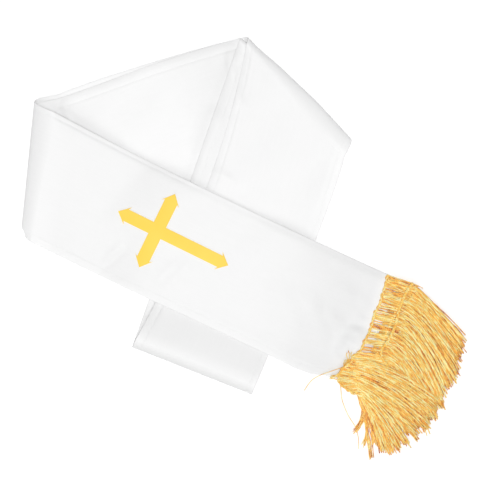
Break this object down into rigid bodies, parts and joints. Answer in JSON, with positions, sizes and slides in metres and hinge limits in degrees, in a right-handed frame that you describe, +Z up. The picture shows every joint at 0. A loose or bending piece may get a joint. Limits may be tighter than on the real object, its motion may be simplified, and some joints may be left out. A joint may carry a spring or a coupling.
{
  "type": "clerical stole",
  "caption": "Long white satin vestment strip with a gold cross and gold fringe, folded double and laid flat in a loop.",
  "frame": {"origin": "middle of the bounding box in plan, on the surface that the folded stole lies on", "axes": "+Z up, away from that surface; +X to the right and +Y to the top of the loop, seen from above with the fringe at the lower right"},
  "size_m": [0.4598, 0.4395, 0.0135],
  "materials": {
    "satin": "white polyester satin, soft sheen",
    "gold_cloth": "golden yellow woven cloth, soft sheen",
    "gold_thread": "gold rayon thread, glossy"
  },
  "bodies": {
    "root": {"front_stretch": "satin", "front_stretch_under": "satin", "back_stretch": "satin", "back_stretch_under": "satin", "side_stretch": "satin", "side_stretch_under": "satin", "cross": "gold_cloth", "front_fringe": "gold_thread", "under_fringe": "gold_thread"}
  },
  "joints": []
}
